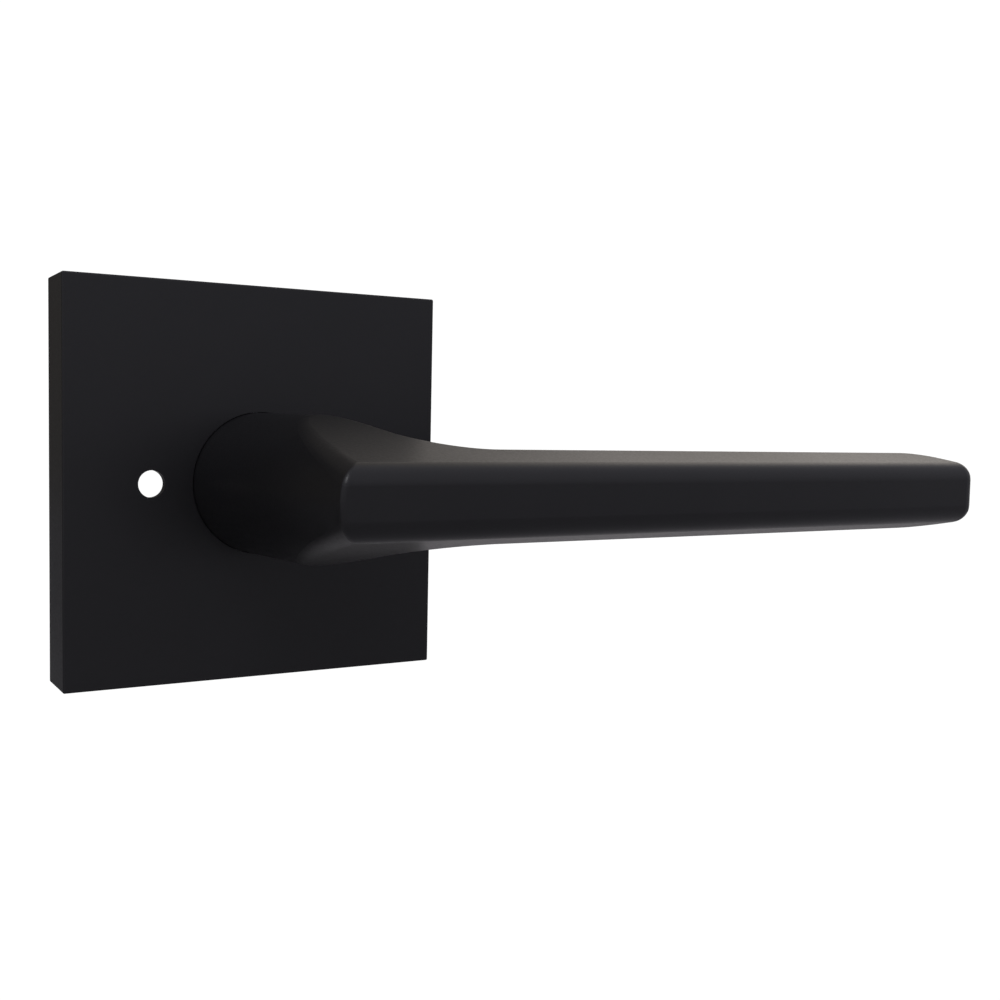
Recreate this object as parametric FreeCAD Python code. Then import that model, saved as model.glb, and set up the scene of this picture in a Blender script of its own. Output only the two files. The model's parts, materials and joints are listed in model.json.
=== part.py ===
import FreeCAD, Part
import math
import os

# Door lever on a square rose, outside half of a privacy set. Millimetres.
# The origin is on the spindle axis in the plane of the door's face.
# +Y goes into the door, +X points to the lever's free end and +Z is up.

Vector = FreeCAD.Vector
ORIGIN = Vector(0, 0, 0)
ALONG_X = Vector(1, 0, 0)
ALONG_Y = Vector(0, 1, 0)
ALONG_Z = Vector(0, 0, 1)

# Rose cover
rose_side = 66.7
rose_depth = 10.0
rose_front_wall = 1.5
rose_side_wall = 2.0
rose_edge = 0.3
neck_gap = 0.12
release_radius = 2.25
release_x = -19.05
bushing_radius = 16.1
bushing_gap = 0.08
bushing_seat = 0.5
bushing_step = 0.3
bushing_chamfer = 0.45
hollow_corner = 1.0

# Lever
lever_projection = 55.0
lever_tip_x = 113.0
neck_base_radius = 12.0
neck_front_radius = 11.1
neck_end_y = -7.5
arm_depth_root = 13.2
arm_depth_tip = 12.5
face_slope = 0.218
face_half = 4.75
tip_rear_radius = 9.2
tip_front_radius = 3.2
root_fillet = 8.0
soft_fillet = 3.1
front_fillet = 0.8
bore_end_gap = 0.3

# Hub and spindle
hub_radius = 8.0
hub_front_y = -21.0
hub_rear_y = 4.5
hub_bore_play = 0.02
hub_chamfer = 0.6
groove_y = 1.75
groove_width = 1.1
groove_radius = 7.2
spindle_side = 8.0
spindle_play = 0.03
spindle_rear_y = 30.0
spindle_chamfer = 0.4
spindle_taper = 4.0
pin_wall = 0.5
pin_slot = 0.4
pin_radius = 1.25
pin_y = -17.5
screw_radius = 2.5
screw_y = -13.5
screw_flat = 7.6
screw_length = 4.2
screw_play = 0.02
socket_flats = 2.5
socket_depth = 2.2
flat_length = 7.0
thrust_radius = 10.7
thrust_front_y = 0.05
thrust_rear_y = 0.65
wave_radius = 10.5
wave_seat_radius = 8.5
wave_front_y = 0.67
wave_rise = 0.35
wave_thickness = 0.4
ring_radius = 9.6
ring_side_play = 0.05
ring_gap = 1.6
eye_radius = 1.35
eye_hole_radius = 0.6
eye_x = 2.3
eye_z = 9.3

# Mounting plate and what stands on it
plate_side = 56.0
plate_thickness = 1.5
plate_corner = 4.0
lightening_radius = 3.2
lightening_circle = 29.5
release_clear_radius = 4.2
release_clear_x = release_x + 1.65
post_spacing = 38.1
post_radius = 3.6
post_flange_radius = 4.5
post_flange_thickness = 1.0
post_chamfer = 0.5
post_length = 24.0
post_thread_radius = 1.65
post_thread_depth = 18.0
bush_radius = 11.0
bush_play = 0.05
bush_collar_radius = 9.1
bush_front_y = -6.2
bush_rear_y = -0.1

# Return spring, its anchor and the cam that drives it
wire = 1.5
coil_radius = 10.2
coil_pitch = 1.56
leg_bend_radius = 2.0
leg_end_x = 18.8
anchor_inner_x = 13.0
anchor_outer_x = 15.2
tab_half = 2.4
tenon_inset = 0.4
tenon_half = 1.5
cam_front_y = -7.4
cam_thickness = 1.05
cam_disc_radius = 11.2
cam_corner = 1.0
finger_plate_gap = 0.5
arm_end_x = 22.5
finger_inner_x = 16.2
finger_outer_x = 18.2
travel = 45.0
stop_circle = 21.0
stop_radius = 1.5
stop_clearance = 0.4
stop_chamfer = 0.25
cage_inner = 11.4
cage_outer = 12.2
cage_front_y = -6.0
cage_opening = 62.0
ear_angle = 125.0
ear_circle = 15.6
ear_radius = 2.9
ear_thickness = 1.0
ear_hole_radius = 1.35
cage_screw_radius = 1.25
cage_head_radius = 2.2
cage_head_height = 1.3
cross_width = 0.5
cross_depth = 0.7

# Clips that hold the rose
clip_thickness = 0.6
clip_width = 10.0
clip_crest = 31.2
clip_rivet_circle = 26.0
clip_rivet_offset = 3.0
rivet_radius = 1.0
rivet_head_radius = 1.7
rivet_head_height = 0.7
clip_line = [
    (24.4, 0.0), (28.2, 0.0), (28.9, -0.7), (clip_crest - 0.65, -2.2),
    (clip_crest - 0.3, -2.8), (clip_crest - 0.65, -3.4), (29.3, -5.6),
]

plate_front = -plate_thickness
rose_inner_front = -(rose_depth - rose_front_wall)
lever_front = -(rose_depth + lever_projection)


def rod(radius, y_from, y_to, x=0.0, z=0.0):
    """A cylinder along Y."""
    return Part.makeCylinder(radius, y_to - y_from, Vector(x, y_from, z), ALONG_Y)


def tube(outer, inner, y_from, y_to, x=0.0, z=0.0):
    return rod(outer, y_from, y_to, x, z).cut(rod(inner, y_from - 1, y_to + 1, x, z))


def block(x_from, x_to, y_from, y_to, z_from, z_to):
    size = (x_to - x_from, y_to - y_from, z_to - z_from)
    return Part.makeBox(*size, Vector(x_from, y_from, z_from))


def square_bar(side, y_from, y_to):
    half = side / 2
    return block(-half, half, y_from, y_to, -half, half)


def turned(points):
    """A solid of revolution about Y from (radius, y) points."""
    corners = [Vector(r, y, 0) for r, y in points]
    outline = Part.makePolygon(corners + corners[:1])
    return Part.Face(outline).revolve(ORIGIN, ALONG_Y, 360)


def prism(points, z_from, z_to):
    """A solid with an (x, y) outline, from z_from to z_to."""
    corners = [Vector(x, y, z_from) for x, y in points]
    outline = Part.makePolygon(corners + corners[:1])
    return Part.Face(outline).extrude(Vector(0, 0, z_to - z_from))


def prism_y(points, y_from, y_to):
    """A solid with an (x, z) outline, from y_from to y_to."""
    corners = [Vector(x, y_from, z) for x, z in points]
    outline = Part.makePolygon(corners + corners[:1])
    return Part.Face(outline).extrude(Vector(0, y_to - y_from, 0))


def edges_along_y(shape, x_size, z_size):
    """The edges along Y at the corners of a box of this size."""
    found = []
    for edge in shape.Edges:
        middle = edge.BoundBox.Center
        on_corner = abs(abs(middle.x) - x_size / 2) < 0.01 and abs(abs(middle.z) - z_size / 2) < 0.01
        if on_corner:
            found.append(edge)
    return found


def turn(shape, degrees):
    """A copy turned about the spindle axis; 90 brings +X to +Z."""
    copy = shape.copy()
    copy.rotate(ORIGIN, ALONG_Y, -degrees)
    return copy


def on_circle(radius, degrees):
    angle = math.radians(degrees)
    return radius * math.cos(angle), radius * math.sin(angle)


def write(name, solids):
    shape = solids[0] if len(solids) == 1 else Part.makeCompound(solids)
    shape.exportStep("parts/" + name + ".step")


def rose_cover():
    half = rose_side / 2
    shell = block(-half, half, -rose_depth, 0, -half, half)
    front_and_corners = [e for e in shell.Edges if e.BoundBox.YMin < -0.01]
    shell = shell.makeFillet(rose_edge, front_and_corners)
    inside = half - rose_side_wall
    hollow = block(-inside, inside, rose_inner_front, 1, -inside, inside)
    hollow = hollow.makeFillet(hollow_corner, edges_along_y(hollow, 2 * inside, 2 * inside))
    shell = shell.cut(hollow)
    shell = shell.cut(rod(neck_base_radius + neck_gap, -rose_depth - 1, 0))
    shell = shell.cut(rod(bushing_radius, rose_inner_front - bushing_seat, 0))
    return shell.cut(rod(release_radius, -rose_depth - 1, 0, release_x))


def rose_bushing():
    """Nylon ring in a shallow seat behind the neck hole."""
    bore = neck_base_radius + bushing_gap
    seat = rose_inner_front - bushing_seat
    shoulder = rose_inner_front + bushing_step
    rear = shoulder + bushing_chamfer
    return turned([
        (bore, seat), (bushing_radius, seat), (bushing_radius, shoulder),
        (bushing_radius - bushing_chamfer, rear), (bore, rear),
    ])


def arm_solid():
    """The flat arm before its top and bottom are cut to the wedge."""
    rear_tip = lever_front + arm_depth_tip
    arm = prism([
        (0, lever_front),
        (lever_tip_x, lever_front),
        (lever_tip_x, rear_tip),
        (0, lever_front + arm_depth_root),
    ], -12, 12)
    for y, radius in ((rear_tip, tip_rear_radius), (lever_front, tip_front_radius)):
        corner = [
            e for e in arm.Edges
            if e.BoundBox.XMin > lever_tip_x - 0.01
            and abs(e.BoundBox.Center.y - y) < 0.01
        ]
        arm = arm.makeFillet(radius, corner)
    return arm


def wedge():
    """The long wedge whose sloping top and bottom shape the lever."""
    left = -neck_base_radius - 1
    length = lever_tip_x + 1 - left
    front = lever_front - 1
    front_half = face_half - face_slope
    rear_half = face_half - face_slope * lever_front
    outline = Part.makePolygon([
        Vector(left, front, -front_half),
        Vector(left, 0, -rear_half),
        Vector(left, 0, rear_half),
        Vector(left, front, front_half),
        Vector(left, front, -front_half),
    ])
    return Part.Face(outline).extrude(Vector(length, 0, 0))


def on_front(edge):
    return edge.BoundBox.YMax < lever_front + 0.01


def lever_handle():
    length = -rose_depth - lever_front
    cone = Part.makeCone(neck_base_radius, neck_front_radius, length,
                         Vector(0, -rose_depth, 0), -ALONG_Y)
    neck = cone.fuse(rod(neck_base_radius, -rose_depth, neck_end_y))
    body = neck.fuse(arm_solid()).removeSplitter()
    body = body.common(wedge()).removeSplitter()
    # the neck meets the arm's rear face in one arc
    root = [
        e for e in body.Edges
        if 5 < e.BoundBox.XMin and e.BoundBox.XMax < neck_base_radius
        and e.BoundBox.YLength < 0.2 and not on_front(e)
    ]
    body = body.makeFillet(root_fillet, root)
    sloping = []
    for face in body.Faces:
        if isinstance(face.Surface, Part.Plane) and abs(face.normalAt(0, 0).z) > 0.9:
            sloping += [e for e in face.Edges if not on_front(e)]
    body = body.makeFillet(soft_fillet, sloping)
    body = body.makeFillet(front_fillet, [e for e in body.Edges if on_front(e)])
    body = body.cut(rod(hub_radius + hub_bore_play, hub_front_y - bore_end_gap, 0))
    screw_hole = Part.makeCylinder(screw_radius + screw_play, neck_base_radius,
                                   Vector(0, screw_y, -hub_radius + 1), -ALONG_Z)
    return body.cut(screw_hole)


def set_screw():
    """Headless hex-socket screw that locks the lever on the hub's flat."""
    top = -screw_flat
    blank = Part.makeCylinder(screw_radius, screw_length, Vector(0, screw_y, top), -ALONG_Z)
    ends = [e for e in blank.Edges if isinstance(e.Curve, Part.Circle)]
    blank = blank.makeChamfer(0.4, ends)
    socket_radius = socket_flats / math.sqrt(3)
    corners = []
    for i in range(6):
        x, y = on_circle(socket_radius, 60 * i)
        corners.append(Vector(x, screw_y + y, top - screw_length - 1))
    outline = Part.makePolygon(corners + corners[:1])
    socket = Part.Face(outline).extrude(Vector(0, 0, socket_depth + 1))
    return blank.cut(socket)


def drive_hub():
    hub = rod(hub_radius, hub_front_y, hub_rear_y)
    hub = hub.makeChamfer(hub_chamfer, [e for e in hub.Edges if isinstance(e.Curve, Part.Circle)])
    hub = hub.cut(square_bar(spindle_side + 2 * spindle_play, hub_front_y - 1, hub_rear_y + 1))
    groove = tube(hub_radius + 1, groove_radius, groove_y, groove_y + groove_width)
    hub = hub.cut(groove)
    flat = block(-hub_radius, hub_radius, screw_y - flat_length / 2, screw_y + flat_length / 2,
                 -hub_radius - 1, -screw_flat)
    hub = hub.cut(flat)
    cross_hole = Part.makeCylinder(pin_radius, 20, Vector(-10, pin_y, 0), ALONG_X)
    return hub.cut(cross_hole)


def cam_plate():
    """Steel disc staked on the hub; its arm's finger pushes the spring's legs."""
    rear = cam_front_y + cam_thickness
    disc = rod(cam_disc_radius, cam_front_y, rear)
    arm = block(0, arm_end_x, cam_front_y, rear, -tab_half, tab_half)
    arm = arm.fuse(disc)
    finger = block(finger_inner_x, finger_outer_x, rear - 0.1, plate_front - finger_plate_gap,
                   -tab_half, tab_half)
    cam = arm.fuse(finger).removeSplitter()
    tip_edges = [
        e for e in cam.Edges
        if e.BoundBox.XMin > arm_end_x - 0.01 and e.BoundBox.YLength > 0.5 * cam_thickness
    ]
    cam = cam.makeFillet(cam_corner, tip_edges)
    return cam.cut(rod(hub_radius, cam_front_y - 1, 0))


def spindle():
    bar = square_bar(spindle_side, hub_front_y, spindle_rear_y)
    bar = bar.makeChamfer(spindle_chamfer, edges_along_y(bar, spindle_side, spindle_side))
    # the far end tapers so that it finds the latch's follower
    taper_y = spindle_rear_y - spindle_taper
    taper = Part.makeCone(spindle_side, spindle_side / 2 - 0.6, spindle_taper,
                          Vector(0, taper_y, 0), ALONG_Y)
    body = bar.common(rod(spindle_side, hub_front_y, taper_y).fuse(taper))
    return body.cut(Part.makeCylinder(pin_radius, 20, Vector(-10, pin_y, 0), ALONG_X))


def spindle_pin():
    """Slotted spring pin across the hub and the spindle."""
    length = 2 * hub_radius - 0.6
    start = Vector(-length / 2, pin_y, 0)
    pin = Part.makeCylinder(pin_radius, length, start, ALONG_X)
    pin = pin.cut(Part.makeCylinder(pin_radius - pin_wall, length, start, ALONG_X))
    half_slot = pin_slot / 2
    return pin.cut(block(-length, length, pin_y - half_slot, pin_y + half_slot, 0, 2 * pin_radius))


def thrust_washer():
    return tube(thrust_radius, hub_radius + 0.1, thrust_front_y, thrust_rear_y)


def wave_washer():
    """Sprung washer, dished towards its rim."""
    bore = hub_radius + 0.1
    flat = wave_front_y
    rim = flat + wave_rise
    return turned([
        (bore, flat), (wave_seat_radius, flat), (wave_radius, rim),
        (wave_radius, rim + wave_thickness), (wave_seat_radius, flat + wave_thickness),
        (bore, flat + wave_thickness),
    ])


def retaining_ring():
    """Snap ring with a gap and two eyes, in the hub's groove."""
    y_from = groove_y + ring_side_play
    y_to = groove_y + groove_width - ring_side_play
    bore = groove_radius + 0.02
    ring = tube(ring_radius, bore, y_from, y_to)
    for x in (-eye_x, eye_x):
        ring = ring.fuse(rod(eye_radius, y_from, y_to, x, eye_z))
        ring = ring.cut(rod(eye_hole_radius, y_from - 1, y_to + 1, x, eye_z))
    gap = block(-ring_gap / 2, ring_gap / 2, y_from - 1, y_to + 1, 0, 2 * eye_z)
    return ring.cut(gap).cut(rod(bore, y_from - 1, y_to + 1)).removeSplitter()


def release_slot():
    """Clear way behind the rose's release hole, for a straight pin or a slanting one."""
    return rod(release_clear_radius, plate_front - 1, 1, release_clear_x)


def rivet_places():
    """Centres of the clip rivets, two for each of the four clips."""
    places = []
    for clip in range(4):
        for side in (-1, 1):
            angle = 90 * clip + math.degrees(math.atan2(side * clip_rivet_offset, clip_rivet_circle))
            radius = math.hypot(clip_rivet_circle, clip_rivet_offset)
            places.append(on_circle(radius, angle))
    return places


def stop_places():
    """The cam's arm meets a stop at the end of its travel."""
    arm_angle = math.degrees(math.asin(tab_half / stop_circle))
    pin_angle = math.degrees(math.asin(stop_radius / stop_circle))
    angle = travel + arm_angle + pin_angle + stop_clearance
    return [on_circle(stop_circle, side * angle) for side in (-1, 1)]


def ear_places():
    return [on_circle(ear_circle, side * ear_angle) for side in (-1, 1)]


def anchor_tenon(beyond):
    """The anchor's riveted end, longer than the plate is thick by this much each way."""
    return block(anchor_inner_x + tenon_inset, anchor_outer_x - tenon_inset,
                 plate_front - beyond, beyond, -tenon_half, tenon_half)


def mounting_plate():
    plate = square_bar(plate_side, plate_front, 0)
    plate = plate.makeFillet(plate_corner, edges_along_y(plate, plate_side, plate_side))
    plate = plate.cut(rod(bush_radius, plate_front - 1, 1))
    plate = plate.cut(release_slot())
    for z in (-post_spacing / 2, post_spacing / 2):
        plate = plate.cut(rod(post_radius, plate_front - 1, 1, 0, z))
    for x, z in stop_places():
        plate = plate.cut(rod(stop_radius, plate_front - 1, 1, x, z))
    for x, z in ear_places():
        plate = plate.cut(rod(cage_screw_radius, plate_front - 1, 1, x, z))
    for x, z in rivet_places():
        plate = plate.cut(rod(rivet_radius, plate_front - 1, 1, x, z))
    # lightening holes near the corners
    for degrees in (45, 135, 225, 315):
        x, z = on_circle(lightening_circle, degrees)
        plate = plate.cut(rod(lightening_radius, plate_front - 1, 1, x, z))
    return plate.cut(anchor_tenon(1.0))


def mounting_posts():
    """Flanged posts that take the through screws, threaded from the far end."""
    posts = []
    for z in (-post_spacing / 2, post_spacing / 2):
        post = rod(post_radius, plate_front, post_length, 0, z)
        rim = [e for e in post.Edges if e.BoundBox.YMin > post_length - 0.01]
        post = post.makeChamfer(post_chamfer, rim)
        post = post.fuse(rod(post_flange_radius, plate_front - post_flange_thickness, plate_front, 0, z))
        bore = rod(post_thread_radius, post_length - post_thread_depth, post_length + 1, 0, z)
        posts.append(post.cut(bore).removeSplitter())
    return posts


def hub_bush():
    """Flush in the plate, with a collar that also guides the coil."""
    bore = hub_radius + bush_play
    return turned([
        (bore, bush_front_y), (bush_collar_radius, bush_front_y),
        (bush_collar_radius, plate_front), (bush_radius, plate_front),
        (bush_radius, bush_rear_y), (bore, bush_rear_y),
    ])


def spring_anchor():
    """Fixed lug between the spring's legs, riveted in the plate."""
    lug = block(anchor_inner_x, anchor_outer_x, cage_front_y, plate_front, -tab_half, tab_half)
    return lug.fuse(anchor_tenon(0.0)).removeSplitter()


def stop_pins():
    """Shouldered pins that the cam's arm meets at either end of its travel."""
    pins = []
    for x, z in stop_places():
        pin = rod(stop_radius, cam_front_y + 0.1, 0, x, z)
        rim = [e for e in pin.Edges if e.BoundBox.YMax < cam_front_y + 0.2]
        pins.append(pin.makeChamfer(stop_chamfer, rim))
    return pins


def spring_cage():
    """Open ring wall round the coil, with two screwed ears."""
    wall = tube(cage_outer, cage_inner, cage_front_y, plate_front)
    reach = 2 * cage_outer
    mouth = [(0, 0), on_circle(reach, cage_opening), (reach, 0), on_circle(reach, -cage_opening)]
    cage = wall.cut(prism_y(mouth, cage_front_y - 1, 0))
    y_from = plate_front - ear_thickness
    for side, (x, z) in zip((-1, 1), ear_places()):
        ear = rod(ear_radius, y_from, plate_front, x, z)
        strap = turn(block(cage_inner, ear_circle, y_from, plate_front, -ear_radius, ear_radius),
                     side * ear_angle)
        ear = ear.fuse(strap).cut(rod(cage_inner, y_from - 1, 0))
        cage = cage.fuse(ear).cut(rod(ear_hole_radius, y_from - 1, 0, x, z))
    return cage.removeSplitter()


def cage_screws():
    """Pan-head screws with a cross recess."""
    screws = []
    head_top = plate_front - ear_thickness - cage_head_height
    for x, z in ear_places():
        screw = rod(cage_head_radius, head_top, head_top + cage_head_height, x, z)
        rim = [e for e in screw.Edges if e.BoundBox.YMax < head_top + 0.01]
        screw = screw.makeFillet(0.5, rim)
        screw = screw.fuse(rod(cage_screw_radius, head_top + 1, -0.1, x, z)).removeSplitter()
        for wide, tall in ((cage_head_radius, cross_width), (cross_width, cage_head_radius)):
            screw = screw.cut(block(x - wide / 2, x + wide / 2, head_top - 1, head_top + cross_depth,
                                    z - tall / 2, z + tall / 2))
        screws.append(screw)
    return screws


def ribbon(points, thickness):
    """Closed outline of a bent strip of even thickness around a line of points."""
    normals = []
    for (x0, y0), (x1, y1) in zip(points, points[1:]):
        length = math.hypot(x1 - x0, y1 - y0)
        normals.append(((y0 - y1) / length, (x1 - x0) / length))
    offsets = []
    for i in range(len(points)):
        a = normals[max(i - 1, 0)]
        b = normals[min(i, len(normals) - 1)]
        scale = thickness / (1 + a[0] * b[0] + a[1] * b[1])
        offsets.append(((a[0] + b[0]) * scale / 2, (a[1] + b[1]) * scale / 2))
    left = [(x + dx, y + dy) for (x, y), (dx, dy) in zip(points, offsets)]
    right = [(x - dx, y - dy) for (x, y), (dx, dy) in zip(points, offsets)]
    return left + right[::-1]


def rose_clips():
    """Leaf springs on the plate's four sides; the rose's walls snap over their crests."""
    base = plate_front - clip_thickness / 2
    line = [(x, base + y) for x, y in clip_line]
    half = clip_width / 2
    clip = prism(ribbon(line, clip_thickness), -half, half)
    for side in (-1, 1):
        hole = rod(rivet_radius, plate_front - 3, 0, clip_rivet_circle, side * clip_rivet_offset)
        clip = clip.cut(hole)
    return [turn(clip, 90 * i) for i in range(4)]


def clip_rivets():
    rivets = []
    head_base = plate_front - clip_thickness
    for x, z in rivet_places():
        head = rod(rivet_head_radius, head_base - rivet_head_height, head_base, x, z)
        rim = [e for e in head.Edges if e.BoundBox.YMax < head_base - 0.01]
        head = head.makeFillet(0.4, rim)
        rivets.append(head.fuse(rod(rivet_radius, head_base - 0.1, 0, x, z)).removeSplitter())
    return rivets


def return_spring():
    """Two-turn torsion spring. Its crossed legs straddle the anchor and the cam's finger."""
    leg_z = tab_half + wire / 2 + 0.03
    reach = coil_radius + leg_bend_radius
    bend_z = leg_z - leg_bend_radius
    bend_x = math.sqrt(reach ** 2 - bend_z ** 2)
    meet = math.atan2(bend_z, bend_x)
    turns = 2 + 2 * meet / (2 * math.pi)
    first_y = plate_front - 0.1 - wire / 2
    lean = math.atan(coil_pitch / (2 * math.pi * coil_radius))

    def leg(sign):
        """Straight leg, then its bend to where the coil starts, tilted to the coil's lead."""
        start = Vector(leg_end_x, 0, sign * leg_z)
        bend_start = Vector(bend_x, 0, sign * leg_z)
        bend_end = Vector(coil_radius * math.cos(meet), 0, sign * coil_radius * math.sin(meet))
        middle_angle = (math.pi / 2 + math.pi + meet) / 2
        bend_middle = Vector(bend_x + leg_bend_radius * math.cos(middle_angle), 0,
                             sign * (bend_z + leg_bend_radius * math.sin(middle_angle)))
        line = Part.makeLine(start, bend_start)
        arc = Part.Arc(bend_start, bend_middle, bend_end).toShape()
        edges = []
        for edge in (line, arc):
            radial = Vector(math.cos(meet), 0, sign * math.sin(meet))
            edge.rotate(bend_end, radial, -math.degrees(lean))
            edges.append(edge)
        return edges

    # the helix climbs towards -Y, clockwise as +X turns to -Z
    height = coil_pitch * turns
    helix = Part.makeHelix(coil_pitch, height, coil_radius, 0, True)
    helix.rotate(ORIGIN, ALONG_X, 90)
    helix.rotate(ORIGIN, ALONG_Y, -math.degrees(meet))
    helix.translate(Vector(0, first_y, 0))
    low = leg(1)
    high = leg(-1)
    for edge in low:
        edge.translate(Vector(0, first_y, 0))
    for edge in high:
        edge.translate(Vector(0, first_y - height, 0))
    path = Part.Wire([low[0], low[1]] + helix.Edges + [high[1], high[0]])
    start = path.OrderedVertexes[0].Point
    section = Part.Wire([Part.makeCircle(wire / 2, start, ALONG_X)])
    solid = path.makePipeShell([section], True, False)
    return solid


def main():
    os.makedirs("parts", exist_ok=True)
    write("rose_cover", [rose_cover()])
    write("rose_bushing", [rose_bushing()])
    write("lever_handle", [lever_handle()])
    write("set_screw", [set_screw()])
    write("drive_hub", [drive_hub()])
    write("cam_plate", [cam_plate()])
    write("spindle", [spindle()])
    write("spindle_pin", [spindle_pin()])
    write("thrust_washer", [thrust_washer()])
    write("wave_washer", [wave_washer()])
    write("retaining_ring", [retaining_ring()])
    write("mounting_plate", [mounting_plate()])
    write("mounting_posts", mounting_posts())
    write("hub_bush", [hub_bush()])
    write("spring_anchor", [spring_anchor()])
    write("stop_pins", stop_pins())
    write("spring_cage", [spring_cage()])
    write("cage_screws", cage_screws())
    write("rose_clips", rose_clips())
    write("clip_rivets", clip_rivets())
    write("return_spring", [return_spring()])


main()
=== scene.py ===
import json
import math
import bpy
import bmesh
from mathutils import Matrix, Vector

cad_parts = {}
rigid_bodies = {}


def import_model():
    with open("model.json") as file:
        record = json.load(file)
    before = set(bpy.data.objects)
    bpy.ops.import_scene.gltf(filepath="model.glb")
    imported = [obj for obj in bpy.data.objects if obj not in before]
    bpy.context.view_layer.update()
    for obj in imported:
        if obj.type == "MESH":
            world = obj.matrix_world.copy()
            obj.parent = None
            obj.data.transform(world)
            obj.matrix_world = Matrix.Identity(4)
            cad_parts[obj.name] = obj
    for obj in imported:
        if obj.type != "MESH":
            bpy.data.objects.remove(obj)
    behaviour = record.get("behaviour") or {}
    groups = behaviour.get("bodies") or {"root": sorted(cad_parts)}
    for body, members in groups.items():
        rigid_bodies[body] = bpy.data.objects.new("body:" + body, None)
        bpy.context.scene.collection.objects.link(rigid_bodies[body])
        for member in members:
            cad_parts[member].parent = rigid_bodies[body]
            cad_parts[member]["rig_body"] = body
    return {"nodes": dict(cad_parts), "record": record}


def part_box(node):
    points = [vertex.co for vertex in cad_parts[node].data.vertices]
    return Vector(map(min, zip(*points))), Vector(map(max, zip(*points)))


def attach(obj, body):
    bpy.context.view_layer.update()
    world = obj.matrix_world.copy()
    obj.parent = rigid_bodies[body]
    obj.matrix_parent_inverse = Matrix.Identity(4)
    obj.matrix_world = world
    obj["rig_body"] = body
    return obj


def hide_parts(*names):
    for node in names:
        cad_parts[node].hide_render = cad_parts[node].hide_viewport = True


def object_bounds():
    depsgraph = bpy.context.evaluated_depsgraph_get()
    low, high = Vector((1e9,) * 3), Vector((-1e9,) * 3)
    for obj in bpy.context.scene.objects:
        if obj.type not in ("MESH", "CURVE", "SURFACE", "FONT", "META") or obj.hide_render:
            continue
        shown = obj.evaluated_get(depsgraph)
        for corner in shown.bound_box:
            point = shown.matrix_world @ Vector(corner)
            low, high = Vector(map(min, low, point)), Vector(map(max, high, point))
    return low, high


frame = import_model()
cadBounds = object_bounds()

# Satin black door lever on its square rose, with the works behind it.
# Metres. +Y goes into the door, +X to the lever's tip, +Z up.

mm = 0.001
print("frame loaded:", len(frame["nodes"]), "nodes")


# a socket takes a plain value, another node's output or a list of outputs
def feed(tree, socket, values):
    for value in values if isinstance(values, list) else [values]:
        if isinstance(value, bpy.types.NodeSocket):
            tree.links.new(value, socket)
        else:
            socket.default_value = value


def addNode(tree, kind, inputs=None, **settings):
    node = tree.nodes.new(kind)
    for key, value in settings.items():
        setattr(node, key, value)
    for key, values in (inputs or {}).items():
        feed(tree, node.inputs[key], values)
    return node.outputs


def maths(tree, operation, first, second=0.0):
    return addNode(tree, "ShaderNodeMath", {0: first, 1: second}, operation=operation)[0]


def emptyTree(owner):
    owner.use_nodes = True
    owner.node_tree.nodes.clear()
    return owner.node_tree


def addObject(name, data):
    thing = bpy.data.objects.new(name, data)
    bpy.context.scene.collection.objects.link(thing)
    return thing


def newMaterial(name):
    mat = bpy.data.materials.new(name)
    tree = emptyTree(mat)
    shader = tree.nodes.new("ShaderNodeBsdfPrincipled")
    addNode(tree, "ShaderNodeOutputMaterial", {"Surface": shader.outputs["BSDF"]})
    return mat, tree, shader.inputs


def objectCoords(tree, scale=(1, 1, 1), shift=(0, 0, 0)):
    inputs = {"Vector": addNode(tree, "ShaderNodeTexCoord")["Object"], "Location": shift, "Scale": scale}
    return addNode(tree, "ShaderNodeMapping", inputs)["Vector"]


usual = (0.3, 0.7)  # where most of a noise's values lie


def noise(tree, coords, scale, detail=3.0, roughness=0.55):
    inputs = {"Vector": coords, "Scale": scale, "Detail": detail, "Roughness": roughness}
    return addNode(tree, "ShaderNodeTexNoise", inputs)["Fac"]


def cells(tree, coords, scale):
    return addNode(tree, "ShaderNodeTexVoronoi", {"Vector": coords, "Scale": scale})["Distance"]


def remap(tree, value, fromLow, fromHigh, toLow, toHigh, kind="LINEAR"):
    inputs = {"Value": value, "From Min": fromLow, "From Max": fromHigh,
              "To Min": toLow, "To Max": toHigh}
    return addNode(tree, "ShaderNodeMapRange", inputs, interpolation_type=kind)["Result"]


def mixColour(tree, factor, first, second, blend="MIX"):
    node = tree.nodes.new("ShaderNodeMix")
    node.data_type = "RGBA"
    node.blend_type = blend
    for name, value in (("Factor", factor), ("A", first), ("B", second)):
        feed(tree, [s for s in node.inputs if s.name == name and s.enabled][0], value)
    return [s for s in node.outputs if s.enabled][0]


# two colours that drift into each other with the noise
def clouded(tree, value, dark, light):
    return mixColour(tree, remap(tree, value, *usual, 0, 1), (*dark, 1), (*light, 1))


def bump(tree, height, strength, distance, after=None):
    inputs = {"Height": height, "Strength": strength, "Distance": distance}
    if after is not None:
        inputs["Normal"] = after
    return addNode(tree, "ShaderNodeBump", inputs)["Normal"]


blackCoat = {"base": (0.0056, 0.0055, 0.0064), "lighter": (0.0080, 0.0078, 0.0088), "cloud": 38.0,
             "dust": (0.035, 0.034, 0.033), "dustSpacing": 90.0, "dustRim": 0.016, "dustCore": 0.0064,
             "rough": (0.30, 0.38), "smudge": 24.0, "smudgeRange": (0.4, 0.7), "smudgeRough": 0.05,
             "grain": 2600.0, "grainBump": 0.30, "grainDepth": 0.000010,
             "peel": 620.0, "peelBump": 0.35, "peelDepth": 0.000016, "gloss": 0.5}


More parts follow.
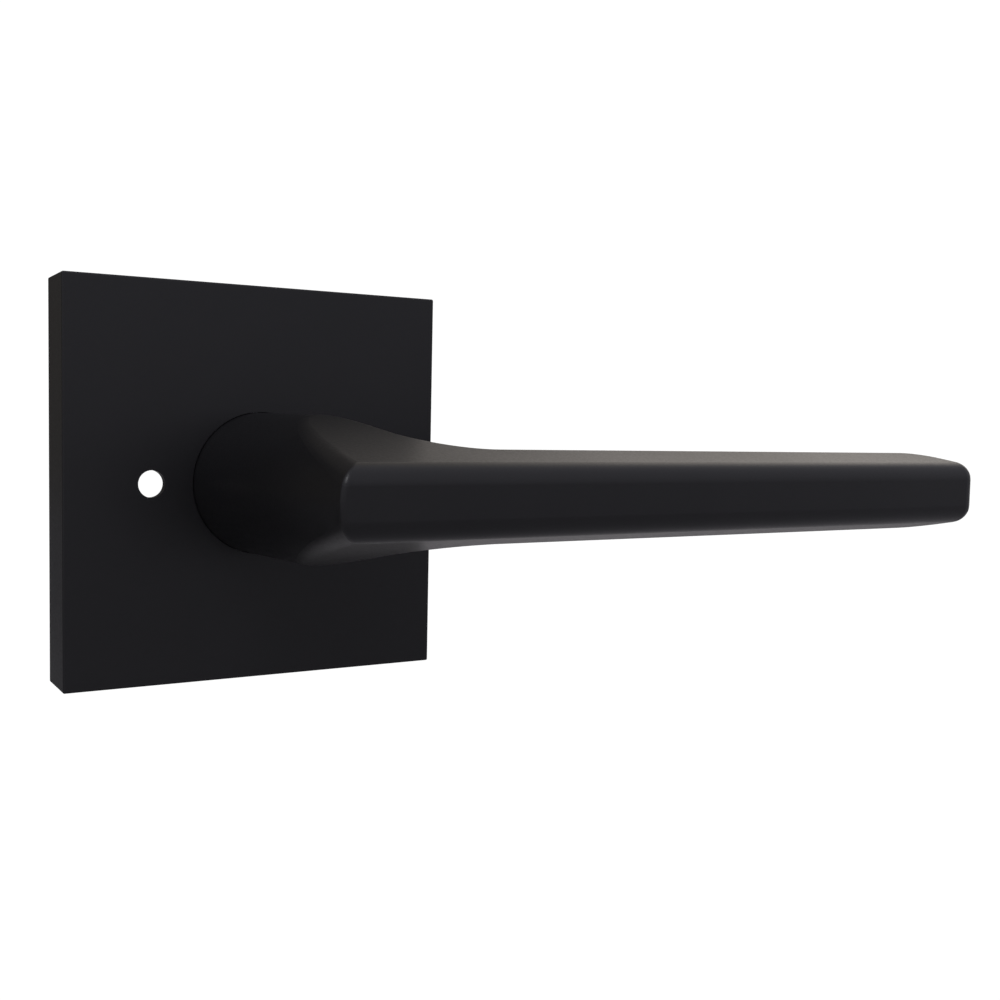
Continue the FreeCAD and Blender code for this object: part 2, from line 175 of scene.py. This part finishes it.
# powder coat: fine grain over a faint peel, with a few dust specks under it
def makeBlackCoat(name, cfg, shift):
    mat, tree, surface = newMaterial(name)
    coords = objectCoords(tree, shift=shift)
    fine = noise(tree, coords, cfg["grain"], detail=2.0, roughness=0.6)
    peel = noise(tree, coords, cfg["peel"], detail=2.0, roughness=0.5)
    smudge = noise(tree, coords, cfg["smudge"], detail=2.0, roughness=0.5)
    speck = remap(tree, cells(tree, coords, cfg["dustSpacing"]), cfg["dustRim"], cfg["dustCore"], 0, 1)
    coat = clouded(tree, noise(tree, coords, cfg["cloud"], detail=4.0), cfg["base"], cfg["lighter"])
    feed(tree, surface["Base Color"], mixColour(tree, speck, coat, (*cfg["dust"], 1)))
    rough = remap(tree, fine, *usual, *cfg["rough"])
    worn = remap(tree, smudge, *cfg["smudgeRange"], 0, cfg["smudgeRough"])
    feed(tree, surface["Roughness"], maths(tree, "ADD", rough, worn))
    normal = bump(tree, peel, cfg["peelBump"], cfg["peelDepth"])
    feed(tree, surface["Normal"], bump(tree, fine, cfg["grainBump"], cfg["grainDepth"], normal))
    feed(tree, surface["Specular IOR Level"], cfg["gloss"])
    return mat


zincSteel = {"colour": (0.72, 0.73, 0.75), "darker": (0.56, 0.57, 0.60), "rough": (0.26, 0.40),
             "stretch": (1, 0.15, 1), "streak": 1400.0, "streakDepth": 0.000006,
             "spot": (0.33, 0.33, 0.36), "spots": 0.40}
zincPlate = {"colour": (0.72, 0.72, 0.72), "darker": (0.56, 0.58, 0.62), "rough": (0.30, 0.46),
             "stretch": (0.12, 1, 1), "streak": 900.0, "streakDepth": 0.000008,
             "spot": (0.36, 0.35, 0.33), "spots": 0.56}
zincPost = {"colour": (0.76, 0.76, 0.76), "darker": (0.60, 0.60, 0.62), "rough": (0.20, 0.34),
            "stretch": (0.2, 5.0, 0.2), "streak": 1200.0, "streakDepth": 0.000004,
            "spot": (0.40, 0.40, 0.41), "spots": 0.32}
springSteel = {"colour": (0.27, 0.26, 0.25), "darker": (0.14, 0.13, 0.13), "rough": (0.26, 0.42),
               "stretch": (1, 1, 1), "streak": 1100.0, "streakDepth": 0.000006,
               "spot": (0.07, 0.06, 0.055), "spots": 0.88}
blackOxide = {"colour": (0.040, 0.040, 0.044), "darker": (0.022, 0.022, 0.025), "rough": (0.30, 0.48),
              "stretch": (1, 1, 1), "streak": 1300.0, "streakDepth": 0.000006,
              "spot": (0.10, 0.09, 0.08), "spots": 0.32}
# shared by the five
metal = {"cloud": 70.0, "spotScale": 320.0, "spotRange": (0.60, 0.74), "spotRough": 0.18,
         "streakBump": 0.4}


# plated or bare steel: drawn streaks, clouded colour and a few duller spots
def makeMetal(name, cfg):
    mat, tree, surface = newMaterial(name)
    plain = objectCoords(tree)
    streak = noise(tree, objectCoords(tree, cfg["stretch"]), cfg["streak"], roughness=0.6)
    spot = noise(tree, plain, metal["spotScale"], detail=4.0, roughness=0.65)
    spot = remap(tree, spot, *metal["spotRange"], 0, cfg["spots"])
    colour = clouded(tree, noise(tree, plain, metal["cloud"]), cfg["darker"], cfg["colour"])
    feed(tree, surface["Base Color"], mixColour(tree, spot, colour, (*cfg["spot"], 1)))
    rough = remap(tree, streak, *usual, *cfg["rough"])
    duller = remap(tree, spot, 0, 1, 0, metal["spotRough"])
    feed(tree, surface["Roughness"], maths(tree, "ADD", rough, duller))
    feed(tree, surface["Normal"], bump(tree, streak, metal["streakBump"], cfg["streakDepth"]))
    feed(tree, surface["Metallic"], 1.0)
    return mat


blackNylon = {"base": (0.016, 0.016, 0.018), "lighter": (0.026, 0.026, 0.028), "rough": (0.48, 0.60)}
whiteNylon = {"base": (0.66, 0.64, 0.58), "lighter": (0.76, 0.75, 0.70), "rough": (0.42, 0.55)}
nylon = {"cloud": 90.0, "grain": 1900.0, "grainBump": 0.3, "grainDepth": 0.000012,
         "milky": 0.05, "milkyDepth": 0.001}  # shared by the two


def makeNylon(name, cfg):
    mat, tree, surface = newMaterial(name)
    coords = objectCoords(tree)
    grain = noise(tree, coords, nylon["grain"], detail=2.0)
    cloud = noise(tree, coords, nylon["cloud"])
    feed(tree, surface["Base Color"], clouded(tree, cloud, cfg["base"], cfg["lighter"]))
    feed(tree, surface["Roughness"], remap(tree, grain, *usual, *cfg["rough"]))
    feed(tree, surface["Normal"], bump(tree, grain, nylon["grainBump"], nylon["grainDepth"]))
    feed(tree, surface["Subsurface Weight"], nylon["milky"])
    feed(tree, surface["Subsurface Scale"], nylon["milkyDepth"])
    return mat


bronze = {"colour": (0.50, 0.31, 0.14), "darker": (0.36, 0.21, 0.09), "pore": (0.09, 0.05, 0.03),
          "poreSpacing": 3600.0, "poreEdge": (0.30, 0.12), "poreBump": 0.5, "poreDepth": 0.00002,
          "film": 600.0, "cloud": 110.0, "rough": (0.36, 0.52)}


# sintered and oiled: open pores and a darker film
def makeBronze(name, cfg):
    mat, tree, surface = newMaterial(name)
    coords = objectCoords(tree)
    pore = remap(tree, cells(tree, coords, cfg["poreSpacing"]), *cfg["poreEdge"], 0, 1)
    colour = clouded(tree, noise(tree, coords, cfg["cloud"]), cfg["darker"], cfg["colour"])
    feed(tree, surface["Base Color"], mixColour(tree, pore, colour, (*cfg["pore"], 1)))
    feed(tree, surface["Roughness"], remap(tree, noise(tree, coords, cfg["film"]), *usual, *cfg["rough"]))
    height = maths(tree, "SUBTRACT", 1.0, pore)
    feed(tree, surface["Normal"], bump(tree, height, cfg["poreBump"], cfg["poreDepth"]))
    feed(tree, surface["Metallic"], 1.0)
    return mat


finish = {
    "satin_black_lever": makeBlackCoat("satinBlackLever", blackCoat, (0, 0, 0)),
    "satin_black_rose": makeBlackCoat("satinBlackRose", blackCoat, (0.37, 0.11, 0.23)),
    "black_nylon": makeNylon("blackNylon", blackNylon),
    "white_nylon": makeNylon("whiteNylon", whiteNylon),
    "black_oxide": makeMetal("blackOxide", blackOxide),
    "zinc_steel": makeMetal("zincSteel", zincSteel),
    "zinc_plate": makeMetal("zincPlate", zincPlate),
    "zinc_post": makeMetal("zincPost", zincPost),
    "spring_steel": makeMetal("springSteel", springSteel),
    "bronze": makeBronze("sinteredBronze", bronze),
}
slotOf = {entry["node"]: entry["material_slot"] for entry in frame["record"]["subparts"]}
bodyOf = {name: node["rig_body"] for name, node in frame["nodes"].items()}
for name, node in frame["nodes"].items():
    node.data.materials.clear()
    node.data.materials.append(finish[slotOf[name]])
print("finishes on", len(slotOf), "nodes")


# an empty geometry tree with named inputs, its group input and its group output
def newTree(name, inputs):
    tree = bpy.data.node_groups.new(name, "GeometryNodeTree")
    tree.interface.new_socket("Geometry", in_out="INPUT", socket_type="NodeSocketGeometry")
    for label, kind in inputs:
        tree.interface.new_socket(label, in_out="INPUT", socket_type="NodeSocket" + kind)
    tree.interface.new_socket("Geometry", in_out="OUTPUT", socket_type="NodeSocketGeometry")
    return tree, tree.nodes.new("NodeGroupInput").outputs, tree.nodes.new("NodeGroupOutput").inputs


crease = math.radians(35)  # edges that bend more than this stay sharp


# realizes, shades and paints what the tree has made
def finishTree(tree, geometry, given, result):
    solid = addNode(tree, "GeometryNodeRealizeInstances", {"Geometry": geometry})[0]
    bend = addNode(tree, "GeometryNodeInputMeshEdgeAngle")["Unsigned Angle"]
    soft = maths(tree, "LESS_THAN", bend, crease)
    shaded = addNode(tree, "GeometryNodeSetShadeSmooth", {"Geometry": solid, "Shade Smooth": True})[0]
    shaded = addNode(tree, "GeometryNodeSetShadeSmooth",
                     {"Geometry": shaded, "Shade Smooth": soft}, domain="EDGE")[0]
    painted = addNode(tree, "GeometryNodeSetMaterial", {"Geometry": shaded, "Material": given["Finish"]})[0]
    feed(tree, result["Geometry"], painted)


# runs a tree and keeps the result as a plain mesh that stands for a CAD node
def grow(name, tree, values, node, startMesh=None):
    carrier = addObject(name + "Start", startMesh or bpy.data.meshes.new(name + "Start"))
    modifier = carrier.modifiers.new("tree", "NODES")
    modifier.node_group = tree
    values = dict(values, Finish=finish[slotOf[node]])
    for item in tree.interface.items_tree:
        if item.in_out == "INPUT" and item.name in values:
            modifier[item.identifier] = values[item.name]
    graph = bpy.context.evaluated_depsgraph_get()
    mesh = bpy.data.meshes.new_from_object(carrier.evaluated_get(graph), depsgraph=graph)
    bpy.data.objects.remove(carrier)
    mesh.name = name
    piece = addObject(name, mesh)
    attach(piece, bodyOf[node])
    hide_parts(node)
    print(name, "made:", len(mesh.polygons), "faces")


def meshFrom(name, points, edges=()):
    mesh = bpy.data.meshes.new(name)
    mesh.from_pydata([tuple(p) for p in points], list(edges), [])
    return mesh


weldDistance = 0.001 * mm


# where the axes of a CAD node's separate solids cross the plane of the door's face
def solidPoints(nodeName):
    bm = bmesh.new()
    bm.from_mesh(frame["nodes"][nodeName].data)
    bmesh.ops.remove_doubles(bm, verts=bm.verts, dist=weldDistance)
    left = set(bm.verts)
    points = []
    while left:
        group = {left.pop()}
        edge = list(group)
        while edge:
            near = {e.other_vert(v) for v in edge for e in v.link_edges} & left
            left -= near
            group |= near
            edge = list(near)
        x, z = [(min(v.co[i] for v in group) + max(v.co[i] for v in group)) / 2 for i in (0, 2)]
        points.append((x, 0, z))
    bm.free()
    return sorted(points, key=lambda point: (round(point[2], 5), round(point[0], 5)))


# a turned blank about Y from (radius, y) points in millimetres
def lathe(name, profile, steps):
    bm = bmesh.new()
    rings = []
    for radius, y in profile:
        ring = []
        for i in range(1 if radius == 0 else steps):
            angle = 2 * math.pi * i / steps
            x, z = radius * math.cos(angle), radius * math.sin(angle)
            ring.append(bm.verts.new((x * mm, y * mm, z * mm)))
        rings.append(ring)
    for a, b in zip(rings, rings[1:]):
        for i in range(steps):
            corners = [a[i % len(a)], a[(i + 1) % len(a)], b[(i + 1) % len(b)], b[i % len(b)]]
            bm.faces.new(list(dict.fromkeys(corners)))
    bmesh.ops.recalc_face_normals(bm, faces=bm.faces)
    mesh = bpy.data.meshes.new(name)
    bm.to_mesh(mesh)
    bm.free()
    return addObject(name, mesh)


rivet = {"head": 1.7, "headHeight": 0.7, "headEdge": 0.15, "domeSteps": 7, "shank": 1.0,
         "tailEdge": 0.06, "dish": 0.55, "dishEdge": 0.02, "dishFloor": 0.33, "dishDepth": 0.16,
         "round": 28, "seed": 4}


def rivetBlank(cfg):
    low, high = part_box("clip_rivets")
    top, tail = low.y / mm, high.y / mm
    base = top + cfg["headHeight"]
    profile = []
    for i in range(cfg["domeSteps"] + 1):
        angle = math.pi / 2 * i / cfg["domeSteps"]
        drop = (cfg["headHeight"] - cfg["headEdge"]) * (1 - math.cos(angle))
        profile.append((cfg["head"] * math.sin(angle), top + drop))
    profile += [(cfg["head"], base), (cfg["shank"], base), (cfg["shank"], tail - cfg["tailEdge"]),
                (cfg["shank"] - cfg["tailEdge"], tail), (cfg["dish"], tail - cfg["dishEdge"]),
                (cfg["dishFloor"], tail - cfg["dishDepth"]), (0, tail - cfg["dishDepth"])]
    return lathe("rivetBlank", profile, cfg["round"])


# the blank on every point, each turned a little differently
def rivetTree():
    tree, given, result = newTree("rivetTree", [
        ("Blank", "Object"), ("Finish", "Material"), ("Seed", "Int")])
    blank = addNode(tree, "GeometryNodeObjectInfo", {"Object": given["Blank"]})
    spin = addNode(tree, "FunctionNodeRandomValue", {"Max": 2 * math.pi, "Seed": given["Seed"]})["Value"]
    turn = addNode(tree, "ShaderNodeCombineXYZ", {"Y": spin})[0]
    placed = addNode(tree, "GeometryNodeInstanceOnPoints",
                     {"Points": given["Geometry"], "Instance": blank["Geometry"], "Rotation": turn})[0]
    finishTree(tree, placed, given, result)
    return tree


def makeRivets():
    blank = rivetBlank(rivet)
    points = meshFrom("rivetPoints", solidPoints("clip_rivets"))
    grow("clipRivets", rivetTree(), {"Blank": blank, "Seed": rivet["seed"]}, "clip_rivets", points)
    bpy.data.objects.remove(blank)


makeRivets()

# threaded for M4; ridge is the half width of the thread's four-sided tooth
post = {"radius": 3.6, "flange": 4.5, "flangeDepth": 1.0, "edge": 0.3, "edgeSteps": 4, "chamfer": 0.5,
        "bore": 2.0, "boreMouth": 0.25, "boreDepth": 17.5, "drillPoint": 1.0, "round": 48,
        "pitch": 0.7, "perTurn": 24, "ridge": 0.40, "toothSides": 4, "ridgeRadius": 1.98,
        "threadLength": 16.1, "threadInset": 0.5}


def postBlank(cfg):
    low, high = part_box("mounting_posts")
    front, rear = low.y / mm, high.y / mm
    seat = front + cfg["flangeDepth"]
    bottom = rear - cfg["boreDepth"]
    profile = [(0, front)]
    for i in range(cfg["edgeSteps"] + 1):
        angle = math.pi / 2 * i / cfg["edgeSteps"]
        inward, rise = cfg["edge"] * (1 - math.sin(angle)), cfg["edge"] * (1 - math.cos(angle))
        profile.append((cfg["flange"] - inward, front + rise))
    profile += [(cfg["flange"], seat), (cfg["radius"], seat), (cfg["radius"], rear - cfg["chamfer"]),
                (cfg["radius"] - cfg["chamfer"], rear), (cfg["bore"] + cfg["boreMouth"], rear),
                (cfg["bore"], rear - cfg["boreMouth"]), (cfg["bore"], bottom),
                (0, bottom - cfg["drillPoint"])]
    return lathe("postBlank", profile, cfg["round"])


# a post on every point, with the thread as a ridge that winds down its bore
def postTree():
    tree, given, result = newTree("postTree", [
        ("Blank", "Object"), ("Finish", "Material"), ("Thread Start", "Float"), ("Thread Length", "Float"),
        ("Thread Radius", "Float"), ("Pitch", "Float"), ("Ridge", "Float")])
    blank = addNode(tree, "GeometryNodeObjectInfo", {"Object": given["Blank"]})
    turns = maths(tree, "DIVIDE", given["Thread Length"], given["Pitch"])
    helix = addNode(tree, "GeometryNodeCurveSpiral",
                    {"Resolution": post["perTurn"], "Rotations": turns, "Height": given["Thread Length"],
                     "Start Radius": given["Thread Radius"], "End Radius": given["Thread Radius"]})["Curve"]
    tooth = addNode(tree, "GeometryNodeCurvePrimitiveCircle",
                    {"Resolution": post["toothSides"], "Radius": given["Ridge"]})["Curve"]
    ridge = addNode(tree, "GeometryNodeCurveToMesh",
                    {"Curve": helix, "Profile Curve": tooth, "Fill Caps": True})[0]
    place = addNode(tree, "ShaderNodeCombineXYZ", {"Y": given["Thread Start"]})[0]
    ridge = addNode(tree, "GeometryNodeTransform",
                    {"Geometry": ridge, "Translation": place, "Rotation": (-math.pi / 2, 0, 0)})[0]
    whole = addNode(tree, "GeometryNodeJoinGeometry", {"Geometry": [blank["Geometry"], ridge]})[0]
    placed = addNode(tree, "GeometryNodeInstanceOnPoints",
                     {"Points": given["Geometry"], "Instance": whole})[0]
    finishTree(tree, placed, given, result)
    return tree


def makePosts():
    blank = postBlank(post)
    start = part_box("mounting_posts")[1].y - (post["threadLength"] + post["threadInset"]) * mm
    values = {"Blank": blank, "Thread Start": start, "Thread Length": post["threadLength"] * mm,
              "Thread Radius": post["ridgeRadius"] * mm, "Pitch": post["pitch"] * mm,
              "Ridge": post["ridge"] * mm}
    grow("mountingPosts", postTree(), values, "mounting_posts",
         meshFrom("postPoints", solidPoints("mounting_posts")))
    bpy.data.objects.remove(blank)


makePosts()

washer = {"bore": 8.1, "thickness": 0.4, "slack": 0.05, "waves": 3, "steps": 144}


# a flat strip bent round a circle that rises and falls as it goes
def washerTree():
    tree, given, result = newTree("washerTree", [
        ("Finish", "Material"), ("Radius", "Float"), ("Width", "Float"), ("Thickness", "Float"),
        ("Height", "Float"), ("Rise", "Float"), ("Waves", "Int"), ("Steps", "Int")])
    ring = addNode(tree, "GeometryNodeCurvePrimitiveCircle",
                   {"Resolution": given["Steps"], "Radius": given["Radius"]})["Curve"]
    ring = addNode(tree, "GeometryNodeTransform", {"Geometry": ring, "Rotation": (math.pi / 2, 0, 0)})[0]
    spot = addNode(tree, "ShaderNodeSeparateXYZ", {0: addNode(tree, "GeometryNodeInputPosition")[0]})
    angle = maths(tree, "ARCTAN2", spot["Z"], spot["X"])
    wave = maths(tree, "SINE", maths(tree, "MULTIPLY", angle, given["Waves"]))
    lift = maths(tree, "ADD", given["Height"], maths(tree, "MULTIPLY", wave, given["Rise"]))
    offset = addNode(tree, "ShaderNodeCombineXYZ", {"Y": lift})[0]
    ring = addNode(tree, "GeometryNodeSetPosition", {"Geometry": ring, "Offset": offset})[0]
    strip = addNode(tree, "GeometryNodeCurvePrimitiveQuadrilateral",
                    {"Width": given["Width"], "Height": given["Thickness"]})[0]
    band = addNode(tree, "GeometryNodeCurveToMesh", {"Curve": ring, "Profile Curve": strip})[0]
    finishTree(tree, band, given, result)
    return tree


def makeWasher():
    low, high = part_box("wave_washer")
    outer = high.x / mm
    rise = (high.y - low.y) / mm - washer["thickness"] - washer["slack"]
    grow("waveWasher", washerTree(),
         {"Radius": (outer + washer["bore"]) / 2 * mm, "Width": (outer - washer["bore"]) * mm,
          "Thickness": washer["thickness"] * mm, "Height": (low.y + high.y) / 2, "Rise": rise / 2 * mm,
          "Waves": washer["waves"], "Steps": washer["steps"]}, "wave_washer")


makeWasher()

spring = {"wire": 1.5, "coilRadius": 10.2, "turns": 2, "pitch": 1.56, "legZ": 3.18, "legBend": 2.0,
          "legEnd": 18.8, "plateGap": 0.05, "perTurn": 72, "bendSteps": 8, "round": 18}


# centre line from one leg's end, round its bend, along the coil and out again
def springLine(cfg):
    reach = cfg["coilRadius"] + cfg["legBend"]
    bendZ = cfg["legZ"] - cfg["legBend"]
    bendX = math.sqrt(reach ** 2 - bendZ ** 2)
    meet = math.atan2(bendZ, bendX)
    sweep = 2 * math.pi * cfg["turns"] + 2 * meet
    climb = cfg["pitch"] * sweep / (2 * math.pi)
    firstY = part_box("return_spring")[1].y / mm - cfg["wire"] / 2 - cfg["plateGap"]
    lean = cfg["pitch"] / (2 * math.pi * cfg["coilRadius"])

    def legPoints(side, y):
        points = [(cfg["legEnd"], cfg["legZ"])]
        for i in range(cfg["bendSteps"] + 1):
            angle = math.pi / 2 + (math.pi / 2 + meet) * i / cfg["bendSteps"]
            x, z = cfg["legBend"] * math.cos(angle), cfg["legBend"] * math.sin(angle)
            points.append((bendX + x, bendZ + z))
        endX, endZ = points[-1]
        leaning = []
        for x, z in points:
            ahead = -(x - endX) * math.sin(meet) + (z - endZ) * math.cos(meet)
            leaning.append((x, y + side * ahead * lean, side * z))
        return leaning

    line = legPoints(1, firstY)
    steps = int(cfg["perTurn"] * sweep / (2 * math.pi))
    for i in range(1, steps):
        angle = meet - sweep * i / steps
        line.append((cfg["coilRadius"] * math.cos(angle), firstY - climb * i / steps,
                     cfg["coilRadius"] * math.sin(angle)))
    line += legPoints(-1, firstY - climb)[::-1]
    return [(x * mm, y * mm, z * mm) for x, y, z in line]


# round wire along a line
def springTree():
    tree, given, result = newTree("springTree", [
        ("Finish", "Material"), ("Wire", "Float"), ("Round", "Int")])
    line = addNode(tree, "GeometryNodeMeshToCurve", {"Mesh": given["Geometry"]})[0]
    radius = maths(tree, "MULTIPLY", given["Wire"], 0.5)
    section = addNode(tree, "GeometryNodeCurvePrimitiveCircle",
                      {"Resolution": given["Round"], "Radius": radius})["Curve"]
    wire = addNode(tree, "GeometryNodeCurveToMesh",
                   {"Curve": line, "Profile Curve": section, "Fill Caps": True})[0]
    finishTree(tree, wire, given, result)
    return tree


def makeSpring():
    points = springLine(spring)
    edges = [(i, i + 1) for i in range(len(points) - 1)]
    grow("returnSpring", springTree(), {"Wire": spring["wire"] * mm, "Round": spring["round"]},
         "return_spring", meshFrom("springLine", points, edges))


makeSpring()


# one shader for the look of a surface, another for the light it gives the rest
def seenAndFelt(tree, seen, felt):
    path = addNode(tree, "ShaderNodeLightPath")
    return addNode(tree, "ShaderNodeMixShader", {"Fac": path["Is Camera Ray"], 1: felt, 2: seen})[0]


# floor: the camera sees an even white glow, but the colour it casts on the rest is painted light and shade,
# dark to the left and in front, bright to the right
ground = {"drop": 0.16, "size": 6.0, "cuts": 6, "near": (0.52, 0.52, 0.54, 1),
          "left": (0.20, 0.20, 0.20, 1), "right": (1.0, 0.97, 0.93, 1),
          "across": (-0.3, 0.5), "inward": (-0.15, 0.3), "rough": 0.9, "glow": 1.05}


def makeFloor(cfg):
    low = cadBounds[0][2] - cfg["drop"]
    half = cfg["size"] / 2
    bm = bmesh.new()
    corners = [bm.verts.new((x * half, y * half, low)) for x, y in ((-1, -1), (1, -1), (1, 1), (-1, 1))]
    bm.faces.new(corners)
    bmesh.ops.subdivide_edges(bm, edges=bm.edges[:], cuts=cfg["cuts"], use_grid_fill=True)
    mesh = bpy.data.meshes.new("floor")
    bm.to_mesh(mesh)
    bm.free()
    mat = bpy.data.materials.new("paleFloorWithPaintedLight")
    mesh.materials.append(mat)
    tree = emptyTree(mat)
    spot = addNode(tree, "ShaderNodeSeparateXYZ", {0: objectCoords(tree)})
    # painted shade to the left and in front, painted light to the right, in the colour the floor gives the
    # rest
    colour = mixColour(tree, remap(tree, spot["X"], *cfg["across"], 0, 1), cfg["left"], cfg["right"])
    colour = mixColour(tree, remap(tree, spot["Y"], *cfg["inward"], 0, 1), cfg["near"], colour)
    paintedLightMatt = addNode(tree, "ShaderNodeBsdfDiffuse", {"Color": colour, "Roughness": cfg["rough"]})[0]
    glow = addNode(tree, "ShaderNodeEmission", {"Strength": cfg["glow"]})[0]
    addNode(tree, "ShaderNodeOutputMaterial", {"Surface": seenAndFelt(tree, glow, paintedLightMatt)})
    floor = addObject("floor", mesh)


# a pale room: brightest behind and to the right, dim to the left and in front, brighter higher up
room = {"front": 0.40, "frontTint": (0.97, 0.96, 1.07), "backLeft": 0.095, "backRight": 1.0,
        "backTint": (1.0, 0.93, 0.865), "low": 0.72, "high": 1.25, "farRight": 0.72, "seen": 1.05,
        "rightward": (0.24, 0.90), "farRightward": (0.45, 0.95), "inward": (0.06, 0.42),
        "upward": (-0.35, 0.45)}


def makeRoom(cfg):
    world = bpy.data.worlds.new("paleRoom")
    bpy.context.scene.world = world
    tree = emptyTree(world)
    way = addNode(tree, "ShaderNodeSeparateXYZ", {0: addNode(tree, "ShaderNodeTexCoord")["Generated"]})

    def tinted(tint, strength):
        return (*[c * strength for c in tint], 1)

    def slope(axis, stretch, toLow=0.0, toHigh=1.0):
        return remap(tree, way[axis], *stretch, toLow, toHigh, "SMOOTHSTEP")

    back = mixColour(tree, slope("X", cfg["rightward"]), tinted(cfg["backTint"], cfg["backLeft"]),
                     tinted(cfg["backTint"], cfg["backRight"]))
    front = mixColour(tree, slope("X", cfg["farRightward"]), tinted(cfg["frontTint"], cfg["front"]),
                      tinted(cfg["frontTint"], cfg["front"] * cfg["farRight"]))
    colour = mixColour(tree, slope("Y", cfg["inward"]), front, back)
    height = slope("Z", cfg["upward"], cfg["low"], cfg["high"])
    colour = mixColour(tree, 1.0, colour, height, "MULTIPLY")
    felt = addNode(tree, "ShaderNodeBackground", {"Color": colour})[0]
    seen = addNode(tree, "ShaderNodeBackground", {"Color": tinted((1, 1, 1), cfg["seen"])})[0]
    addNode(tree, "ShaderNodeOutputWorld", {"Surface": seenAndFelt(tree, seen, felt)})


softbox = {"place": (-0.42, -0.5, 0.75), "aim": (0, -0.03, 0), "size": 0.5, "power": 2.0,
           "colour": (0.94, 0.95, 1.0)}


def makeSoftbox(cfg):
    data = bpy.data.lights.new("softbox", "AREA")
    data.shape = "SQUARE"
    data.size = cfg["size"]
    data.energy = cfg["power"]
    data.color = cfg["colour"]
    lamp = addObject("softbox", data)
    lamp.location = cfg["place"]
    lamp.rotation_euler = (Vector(cfg["aim"]) - lamp.location).to_track_quat("-Z", "Y").to_euler()


# angles in radians; focal length and shifts in sensor widths
view = {"place": (-0.07316, -0.1952, 0.009431), "yaw": 0.502, "pitch": 0.06465, "roll": 0.01574,
        "sensor": 36.0, "focal": 1.157, "shiftX": 0.0928, "shiftY": 0.005, "clip": (0.01, 20.0)}


def makeCamera(cfg):
    data = bpy.data.cameras.new("camera")
    data.sensor_width = cfg["sensor"]
    data.lens = cfg["focal"] * cfg["sensor"]
    data.shift_x = cfg["shiftX"]
    data.shift_y = cfg["shiftY"]
    data.clip_start, data.clip_end = cfg["clip"]
    camera = addObject("camera", data)
    yaw, pitch, roll = cfg["yaw"], cfg["pitch"], cfg["roll"]
    ahead = Vector((math.sin(yaw) * math.cos(pitch), math.cos(yaw) * math.cos(pitch), -math.sin(pitch)))
    side = Vector((math.cos(yaw), -math.sin(yaw), 0))
    up = side.cross(ahead)
    right = side * math.cos(roll) + up * math.sin(roll)
    top = -side * math.sin(roll) + up * math.cos(roll)
    turned = Matrix((right, top, -ahead)).transposed()
    camera.matrix_world = Matrix.Translation(cfg["place"]) @ turned.to_4x4()
    bpy.context.scene.camera = camera


makeFloor(ground)
makeRoom(room)
makeSoftbox(softbox)
makeCamera(view)
bpy.context.scene.view_settings.view_transform = "Standard"
print("floor, room, softbox and camera set")
